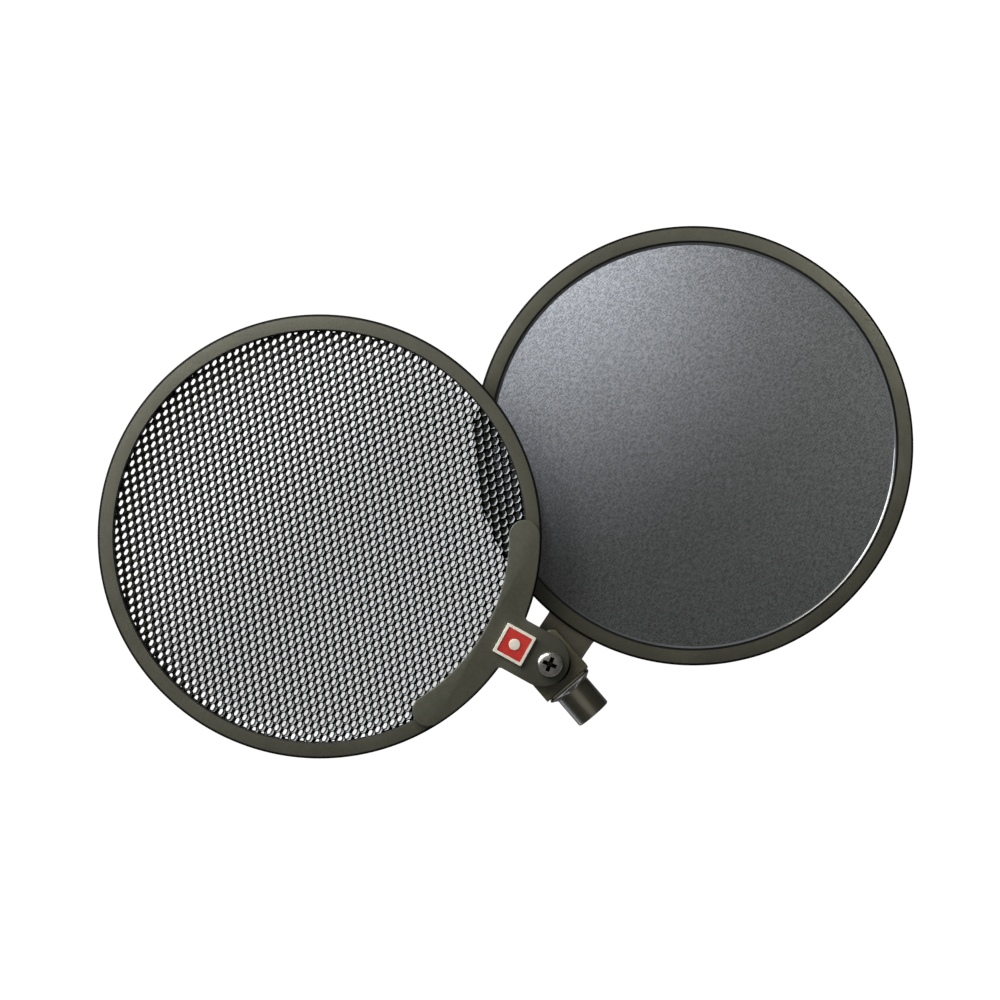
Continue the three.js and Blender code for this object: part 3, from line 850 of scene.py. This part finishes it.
def badge():
    badge_place = METAL @ Matrix.Translation((0, BADGE_Y * MM, 0))
    outline, field = square(BADGE_OUTLINE_HALF, 0.5), square(BADGE_FIELD_HALF, 0.35)
    plate = Solid()
    plate.add(*slab(outline, ARM_HIGH, BADGE_FLOOR, BADGE_EDGE))
    plate.add(*slab(outline, BADGE_FLOOR - 0.13, BADGE_TOP, BADGE_EDGE, [(field, None)]))
    plate.add(*slab(BADGE_BOSS, BADGE_FLOOR - 0.1, BADGE_TOP, 0.14))
    plate.make("badge_tile", badge_place, "metal_filter", "cream_enamel", ["badge_plate"])
    enamel_top = BADGE_FLOOR + BADGE_FIELD_THICKNESS
    red = slab(field, BADGE_FLOOR, enamel_top, 0.05, [(BADGE_BOSS, None)])
    Solid().add(*red).make("badge_red_field", badge_place, "metal_filter", "red_enamel",
                           ["badge_enamel"])


badge()

# ---- Pivot block and ferrule ----

BLOCK_FRONT = -10.5
BLOCK_BACK = 9.5
BLOCK_HALF = 10.0
BLOCK_TOP = level("pivot_block", 1)
BLOCK_EDGE = 0.45
SHOULDER_END = -13.4
SET_SCREW_Y = -8.3
SET_SCREW_RADIUS = 1.62
SET_SCREW_HOLE = 1.75
SET_SCREW_HOLE_DEPTH = 4.0
SET_SCREW_SINK = 0.35  # below the block's back
SET_SCREW_END = -4.3
SOCKET_RADIUS = 4.6
SOCKET_DEPTH = 9.5
SOCKET_MOUTH = 5.1
FERRULE_RADIUS = 7.0
SPIGOT_RADIUS = 4.0
SPIGOT_END = -6.2


def pivot_block():
    plan = rounded([
        (-BLOCK_HALF, BLOCK_FRONT, 0.35),
        (BLOCK_HALF, BLOCK_FRONT, 0.35),
        (BLOCK_HALF, BLOCK_BACK, 3.0),
        (-BLOCK_HALF, BLOCK_BACK, 3.0),
    ], 10)
    set_screw_hole = circle(SET_SCREW_HOLE, 28, 0, SET_SCREW_Y)
    holes = [(SCREW_HOLE, None), (set_screw_hole, SET_SCREW_HOLE_DEPTH)]
    body = slab(plan, -BLOCK_TOP, BLOCK_TOP, BLOCK_EDGE, holes)
    Solid().add(*body).make("pivot_block_body", PIVOT, "pivot", "block_paint", ["pivot_block"])


def shoulder():
    """A short collar beyond a groove, narrowing from the block's square section to the ferrule."""
    sides = 96
    # Distance in front of the block, half width, half height, and how round the section is.
    stations = [
        (-0.3, 8.7, 6.2, 0.06),
        (0.75, 8.7, 6.2, 0.06),
        (0.8, 9.0, 7.3, 0.08),
        (0.88, 9.1, 7.55, 0.09),
        (1.05, 9.2, 7.7, 0.1),
        (1.25, 9.15, 7.62, 0.14),
        (1.4, 9.0, 7.46, 0.22),
        (1.8, 8.5, 7.36, 0.42),
        (2.2, 7.9, 7.24, 0.68),
        (2.6, 7.4, 7.14, 0.88),
        (BLOCK_FRONT - SHOULDER_END, 7.05, 7.05, 1.0),
    ]
    sections, vertices = [], []
    for ahead, half_width, half_height, roundness in stations:
        start = len(vertices)
        power = 2 + 10 * (1 - roundness) ** 2
        for i in range(sides):
            angle = TURN * i / sides
            c, s = math.cos(angle), math.sin(angle)
            x = half_width * math.copysign(abs(c) ** (2 / power), c)
            z = half_height * math.copysign(abs(s) ** (2 / power), s)
            vertices.append((x, BLOCK_FRONT - ahead, z))
        sections.append(list(range(start, start + sides)))
    faces = []
    for a, b in zip(sections, sections[1:]):
        faces += [[a[i], b[i], b[(i + 1) % sides], a[(i + 1) % sides]] for i in range(sides)]
    faces.append(sections[0])
    faces.append(sections[-1][::-1])
    Solid().add(vertices, faces).make("pivot_shoulder", PIVOT, "pivot", "gloss_black")


def ferrule():
    """Turned about the Y axis, from its open end at the row's origin."""
    top = pivot.y / MM + SHOULDER_END + 0.2
    spigot_end = pivot.y / MM + SPIGOT_END
    profile = rounded([
        (0, SOCKET_DEPTH, 0),
        (SOCKET_RADIUS, SOCKET_DEPTH, 0),
        (SOCKET_RADIUS, SOCKET_MOUTH - SOCKET_RADIUS, 0.1),
        (SOCKET_MOUTH, 0.0, 0.1),
        (FERRULE_RADIUS, 0.0, 0.75),
        (FERRULE_RADIUS, top, 0.3),
        (SPIGOT_RADIUS, top, 0),
        (SPIGOT_RADIUS, spigot_end, 0.3),
        (0, spigot_end, 0),
    ], CORNER_STEPS)
    shape = turned(profile, 96, closed=False)
    along_y = Matrix.Rotation(-math.pi / 2, 4, "X")
    Solid().add(*shape, along_y).make("ferrule_stub", Matrix.Identity(4), "pivot", "gloss_black",
                                      ["gooseneck_ferrule"])


pivot_block()
shoulder()
ferrule()

# ---- Screw, washers and nut ----

HEAD_RADIUS = 4.85
HEAD_WALL = 1.15
HEAD_STEPS = 14
HEAD_TOP = level("pivot_screw", 1)
SCREW_END = level("pivot_screw", 0)
SHANK_RADIUS = 2.5
THREAD_ROOT = 2.08
THREAD_STEP = 0.8
RECESS_TURN = math.radians(27)
RECESS_SPAN = 6.0
RECESS_WIDTH = 1.5
RECESS_DEPTH = 2.6
WASHER_INNER = 2.7
WASHER_EDGE = 0.15
FRICTION_WASHER_OUTER = 8.0
FLAT_WASHER_OUTER = 5.0
SPRING_INNER = 2.75
SPRING_OUTER = 4.6
SPRING_RISE = 0.35
SPRING_STEPS = 60
SPRING_GAP = math.radians(9)
NUT_ACROSS_FLATS = 8
COLLAR_HEIGHT = 1.2
COLLAR_OVERLAP = 0.2
COLLAR_BORE = 2.35


def boolean(solid_shape, cutter_shape):
    """The first shape with the second one cut out of it, in mm."""
    objects = []
    for vertices, faces in (solid_shape, cutter_shape):
        mesh = bpy.data.meshes.new("tool")
        mesh.from_pydata([tuple(v) for v in vertices], [], faces)
        obj = bpy.data.objects.new("tool", mesh)
        bpy.context.scene.collection.objects.link(obj)
        objects.append(obj)
    modifier = objects[0].modifiers.new("cut", "BOOLEAN")
    modifier.operation = "DIFFERENCE"
    modifier.solver = "EXACT"
    modifier.object = objects[1]
    graph = bpy.context.evaluated_depsgraph_get()
    result = bpy.data.meshes.new_from_object(objects[0].evaluated_get(graph))
    vertices = [tuple(v.co) for v in result.vertices]
    faces = [list(p.vertices) for p in result.polygons]
    for obj in objects:
        bpy.data.objects.remove(obj)
    return vertices, faces


def cross_recess(top, span, width, depth):
    """A cross whose wings narrow and come together towards the bottom."""
    vertices, faces = [], []
    mouth = (top + 0.6, span * 0.53, width * 0.525)
    bottom = (top - depth, span * 0.24, width * 0.4)
    for height, reach, thick in (mouth, bottom):
        for quarter in range(4):
            a = math.pi / 2 * quarter
            c, s = math.cos(a), math.sin(a)
            for x, y in ((reach, -thick), (reach, thick), (thick, thick)):
                vertices.append((x * c - y * s, x * s + y * c, height))
    ring = len(vertices) // 2
    for i in range(ring):
        j = (i + 1) % ring
        faces.append([i, ring + i, ring + j, j])
    faces.append(list(range(ring)))
    faces.append(list(range(ring, 2 * ring))[::-1])
    return vertices, faces


def pivot_screw():
    """A pan-head screw: its crown is a flattened round."""
    wall_high = ARM_HIGH + HEAD_WALL
    dome = []
    for i in range(HEAD_STEPS):
        angle = math.pi / 2 * i / HEAD_STEPS
        radius = HEAD_RADIUS * math.cos(angle) ** 0.62
        dome.append((radius, wall_high + (HEAD_TOP - wall_high) * math.sin(angle) ** 0.85))
    thread = []
    height = ARM_HIGH - 3
    while height > SCREW_END + 0.5:
        thread += [
            (SHANK_RADIUS, height),
            (SHANK_RADIUS, height - 0.1),
            (THREAD_ROOT, height - 0.42),
            (THREAD_ROOT, height - 0.48),
        ]
        height -= THREAD_STEP
    profile = [(0, SCREW_END), (1.9, SCREW_END), (2.2, SCREW_END + 0.3)] + thread[::-1]
    profile += [
        (SHANK_RADIUS, ARM_HIGH),
        (HEAD_RADIUS - 0.2, ARM_HIGH),
        (HEAD_RADIUS, ARM_HIGH + 0.2),
    ]
    profile += dome + [(0, HEAD_TOP)]
    screw = turned(profile, 72, closed=False)
    screw = boolean(screw, cross_recess(HEAD_TOP, RECESS_SPAN, RECESS_WIDTH, RECESS_DEPTH))
    turn = Matrix.Rotation(RECESS_TURN, 4, "Z")
    Solid().add(*screw, turn).make("pivot_screw_m5", PIVOT, "pivot", "dark_steel", ["pivot_screw"])


def washer_section(inner, outer, low, high, steps):
    corners = [(inner, low), (outer, low), (outer, high), (inner, high)]
    return rounded([(r, z, WASHER_EDGE) for r, z in corners], steps)


def washer(name, outer, low, high, slot, node):
    profile = washer_section(WASHER_INNER, outer, low, high, 4)
    Solid().add(*turned(profile, 64)).make(name, PIVOT, "pivot", slot, [node])


def spring_washer():
    """One turn of square wire, with its two ends cut and sprung a little apart."""
    low, high = level("spring_washer", 0), level("rear_flat_washer", 0)
    section = washer_section(SPRING_INNER, SPRING_OUTER, low, high - SPRING_RISE, 3)
    vertices, faces = [], []
    count = len(section)
    for i in range(SPRING_STEPS + 1):
        share = i / SPRING_STEPS
        angle = SPRING_GAP / 2 + (TURN - SPRING_GAP) * share
        c, s = math.cos(angle), math.sin(angle)
        vertices += [(r * c, r * s, z + SPRING_RISE * share) for r, z in section]
    for i in range(SPRING_STEPS):
        for k in range(count):
            a, b = i * count + k, i * count + (k + 1) % count
            faces.append([a, a + count, b + count, b])
    faces.append(list(range(count)))
    faces.append([SPRING_STEPS * count + k for k in range(count)][::-1])
    Solid().add(vertices, faces).make("split_washer", PIVOT, "pivot", "zinc_steel",
                                      ["spring_washer"])


def pivot_nut():
    """A hexagon nut with a round locking ring at its outer end."""
    low, high = level("pivot_nut", 0), level("spring_washer", 0)
    hexagon = regular(6, NUT_ACROSS_FLATS / math.sqrt(3), 0.5)
    solid = Solid()
    solid.add(*slab(hexagon, low + COLLAR_HEIGHT, high, 0.3, [(SCREW_HOLE, None)]))
    collar_top = low + COLLAR_HEIGHT + COLLAR_OVERLAP
    profile = rounded([
        (COLLAR_BORE, low, 0.15),
        (3.5, low, 0.6),
        (3.75, collar_top, 0),
        (COLLAR_BORE, collar_top, 0),
    ], CORNER_STEPS)
    solid.add(*turned(profile, 56))
    solid.make("locking_nut", PIVOT, "pivot", "zinc_steel", ["pivot_nut"])


def set_screw():
    """A short socket screw whose hexagon opens at the block's back."""
    place = Matrix.Translation((0, SET_SCREW_Y, 0))
    socket = regular(6, 0.88, 0.05, 2)
    outline = circle(SET_SCREW_RADIUS, 32)
    shape = slab(outline, SET_SCREW_SINK - BLOCK_TOP, SET_SCREW_END, 0.15, [(socket, 1.3)])
    Solid().add(*shape, place).make("ferrule_grub_screw", PIVOT, "pivot", "dark_steel",
                                    ["ferrule_set_screw"])


pivot_screw()
arm_face = level("metal_filter_bracket", 0)
washer("front_nylon_washer", FRICTION_WASHER_OUTER, BLOCK_TOP, arm_face, "black_nylon",
       "front_friction_washer")
washer("rear_nylon_washer", FRICTION_WASHER_OUTER, -arm_face, -BLOCK_TOP, "black_nylon",
       "rear_friction_washer")
washer("flat_washer", FLAT_WASHER_OUTER, level("rear_flat_washer", 0), -ARM_HIGH, "zinc_steel",
       "rear_flat_washer")
spring_washer()
pivot_nut()
set_screw()

# ---- Floor, sky and lights, in metres ----

FLOOR_LEVEL = -0.03
FLOOR_HALF = 4.0
FLOOR_SEEN = 0.98  # how bright the camera sees it
FLOOR_GLOW = 0.2  # what the floor gives to the object
SHADE_SEEN = 0.65
SHADE_RADIUS = 0.079
SHADE_FADE = 0.006
SHADE_START = -0.05  # from the screen's centre, away from the window
SHADE_FULL = 0.01
SHADE_LIFT = 0.0002
WINDOW_SIDE = roll @ Vector((-0.7, 0.7, 0.0))
SKY_SEEN = 0.92
# Direction, the cosines that the ramp starts and ends at, and the levels there.
SKY_RAMPS = [((0, 0, 1), 0.0, 1.0, 0.09, 0.22), (WINDOW_SIDE, 0.2, 1.0, 0.0, 0.25)]


def ground(name, corners, shaded):
    """A pale sheet below the object. From underneath it lets the view through.
    A shaded one is darker below the metal screen."""
    mesh = bpy.data.meshes.new(name)
    mesh.from_pydata(corners, [], [list(range(len(corners)))])
    nodes = Nodes(name, Roughness=0.9, Specular_IOR_Level=0.1)
    nodes.shader.inputs["Emission Color"].default_value = colour(1, 1, 1)
    grain = nodes.spread(nodes.noise(30, 3), 0.3, 0.7, 0.0, 1.0)
    pale = nodes.mix(grain, colour(0.6, 0.6, 0.6), colour(0.62, 0.62, 0.62))
    nodes.put(pale, nodes.shader.inputs["Base Color"])
    bright = FLOOR_SEEN
    if shaded:
        centre = METAL_SCREEN.translation
        from_centre = nodes.vector("SUBTRACT", nodes.place, (centre.x, centre.y, corners[0][2]))
        distance = nodes.vector("DISTANCE", from_centre, (0, 0, 0), 1)
        away = nodes.vector("DOT_PRODUCT", from_centre, tuple(-WINDOW_SIDE.normalized()), 1)
        fade_start = SHADE_RADIUS - SHADE_FADE
        under = nodes.spread(distance, fade_start, SHADE_RADIUS, 1.0, 0.0, smooth=True)
        behind = nodes.spread(away, SHADE_START, SHADE_FULL, 0.0, 1.0, smooth=True)
        shade = nodes.math("MULTIPLY", under, behind)
        bright = nodes.spread(shade, 0.0, 1.0, FLOOR_SEEN, SHADE_SEEN)
    seen = nodes.add("ShaderNodeLightPath").outputs["Is Camera Ray"]
    nodes.put(nodes.blend(seen, FLOOR_GLOW, bright), nodes.shader.inputs["Emission Strength"])
    back = nodes.add("ShaderNodeNewGeometry").outputs["Backfacing"]
    clear = nodes.add("ShaderNodeBsdfTransparent")
    choose = nodes.add("ShaderNodeMixShader")
    nodes.put(back, choose.inputs[0])
    nodes.put(nodes.shader.outputs[0], choose.inputs[1])
    nodes.put(clear.outputs[0], choose.inputs[2])
    nodes.put(choose.outputs[0], nodes.tree.nodes["Material Output"].inputs["Surface"])
    mesh.materials.append(nodes.material)
    obj = bpy.data.objects.new(name, mesh)
    bpy.context.scene.collection.objects.link(obj)
    return obj


def floor():
    """The floor, and the shade under the mesh screen, which moves with the screen."""
    half = FLOOR_HALF
    square_corners = [(-half, -half), (half, -half), (half, half), (-half, half)]
    ground("floor", [(x, y, FLOOR_LEVEL) for x, y in square_corners], False)
    centre = METAL_SCREEN.translation
    height = FLOOR_LEVEL + SHADE_LIFT
    rim = circle(SHADE_RADIUS + 0.001, 96, centre.x, centre.y)
    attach(ground("shade", [(x, y, height) for x, y in rim], True), "metal_filter")


def light_group(obj, names, state):
    """A collection for light linking that includes or excludes the named pieces."""
    group = bpy.data.collections.new(obj.name + "_" + state.lower())
    for name in names:
        group.objects.link(bpy.data.objects[name])
    for each in group.collection_objects:
        each.light_linking.link_state = state
    return group


def facing(place, target, across):
    """A light's matrix: it shines at the target, with its width along a direction."""
    back = (place - target).normalized()
    side = (across - back * across.dot(back)).normalized()
    up = back.cross(side)
    turn = Matrix((side, up, back)).transposed()
    return Matrix.Translation(place) @ turn.to_4x4()


def softbox(name, place, target, size, radiance, tint, across, spread=180, only=(), without=()):
    """A rectangle of even light that faces its target. across is its width's direction in the view.
    The light falls on the pieces in only, or on all but those in without."""
    data = bpy.data.lights.new(name, "AREA")
    data.shape = "RECTANGLE"
    data.size, data.size_y = size
    data.energy = radiance * math.pi * size[0] * size[1]
    data.spread = math.radians(spread)
    data.color = tint
    obj = bpy.data.objects.new(name, data)
    bpy.context.scene.collection.objects.link(obj)
    obj.matrix_world = facing(place, target, roll @ Vector((*across, 0)))
    obj.visible_camera = False
    if only or without:
        group = light_group(obj, only or without, "INCLUDE" if only else "EXCLUDE")
        obj.light_linking.receiver_collection = group
    return obj


def sky():
    """Dim at the horizon, brighter overhead and towards the window."""
    world = bpy.data.worlds.new("sky")
    world.use_nodes = True
    tree = world.node_tree
    background = tree.nodes["Background"]
    direction = tree.nodes.new("ShaderNodeTexCoord").outputs["Generated"]
    levels = []
    for towards, *ramp_values in SKY_RAMPS:
        dot = tree.nodes.new("ShaderNodeVectorMath")
        dot.operation = "DOT_PRODUCT"
        tree.links.new(direction, dot.inputs[0])
        dot.inputs[1].default_value = towards
        ramp = tree.nodes.new("ShaderNodeMapRange")
        tree.links.new(dot.outputs["Value"], ramp.inputs["Value"])
        for socket, value in zip(list(ramp.inputs)[1:], ramp_values):
            socket.default_value = value
        levels.append(ramp.outputs["Result"])
    total = tree.nodes.new("ShaderNodeMath")
    tree.links.new(levels[0], total.inputs[0])
    tree.links.new(levels[1], total.inputs[1])
    seen = tree.nodes.new("ShaderNodeLightPath").outputs["Is Camera Ray"]
    choose = tree.nodes.new("ShaderNodeMix")
    tree.links.new(seen, choose.inputs["Factor"])
    tree.links.new(total.outputs[0], choose.inputs[2])
    choose.inputs[3].default_value = SKY_SEEN
    tree.links.new(choose.outputs[0], background.inputs["Strength"])
    background.inputs["Color"].default_value = (1.0, 0.98, 0.94, 1)
    bpy.context.scene.world = world


DAYLIGHT = (1.0, 0.985, 0.9)
COOL = (0.9, 0.95, 1.0)
WHITE = (1.0, 1.0, 1.0)
LAMP = (1.0, 0.92, 0.72)
FLOOR = ["floor", "shade"]
MESH = ["expanded_mesh"]
CLOTH = ["fabric_membrane_cloth"]
BEAD = ["fabric_front_rim_bead"]
FABRIC_RIM = ["fabric_front_rim"]
FERRULE = ["ferrule_stub", "pivot_shoulder"]
FABRIC_ARM = ["fabric_bracket_arm"]


def lights():
    """A key light, a low window, and lights that fall on some pieces only."""
    softbox("key", in_view(-0.2, 0.27, 0.22), in_view(-0.03, 0.07), (0.32, 0.16), 9.4, DAYLIGHT,
            (1, 0.35), without=FLOOR + CLOTH)
    softbox("fabric_rim_light", in_view(0.21, 0.22, 0.13), in_view(0.15, 0.16), (0.08, 0.08), 3.2,
            DAYLIGHT, (1, 0), 65, only=FABRIC_RIM)
    window = in_view(-0.62, 0.345, 0.2)
    window_size = (0.5, 0.24)
    window_lean = (0.4, 0.9)
    middle = in_view(-0.03, 0.06)
    softbox("window", window, middle, window_size, 12, COOL, window_lean,
            without=FLOOR + MESH + CLOTH + BEAD)
    softbox("bead_light", window, middle, window_size, 19, COOL, window_lean, only=BEAD)
    softbox("mesh_light", in_view(-0.62, 0.345, 0.17), in_view(-0.085, 0.047), window_size, 17,
            COOL, window_lean, only=MESH)
    softbox("cloth_key", in_view(-0.45, 0.3, 0.4), in_view(0.05, 0.08), (0.3, 0.3), 9.4, WHITE,
            (0.7, 0.7), only=CLOTH)
    softbox("cloth_light", in_view(-0.01, 0.172, 0.13), in_view(0.0, 0.154), (0.1, 0.02), 39,
            (0.92, 0.94, 1.0), (0.8, 0.6), 72, only=CLOTH)
    softbox("cloth_fill", in_view(0.2, 0.19, 0.17), in_view(0.125, 0.115), (0.08, 0.08), 4.8,
            (1.0, 1.0, 0.96), (1, 0), 75, only=CLOTH)
    softbox("ferrule_light", in_view(0.02, -0.02, 0.3), in_view(0.02, -0.02), (0.22, 0.22), 2,
            LAMP, (1, 0), only=FERRULE + FABRIC_ARM)
    softbox("collar_light", in_view(0.3, -0.4, 0.2), in_view(0.01, -0.01), (0.3, 0.2), 8,
            COOL, (0.8, 0.6), only=FERRULE)
    low_light = softbox("low_light", in_view(-0.16, -0.16, -0.14), in_view(0.015, -0.015),
                        (0.3, 0.12), 2, COOL, (0.7, -0.7), only=FERRULE)
    # It is below the floor, which doesn't block it.
    low_light.light_linking.blocker_collection = light_group(low_light, FLOOR, "EXCLUDE")


sky()
floor()
lights()
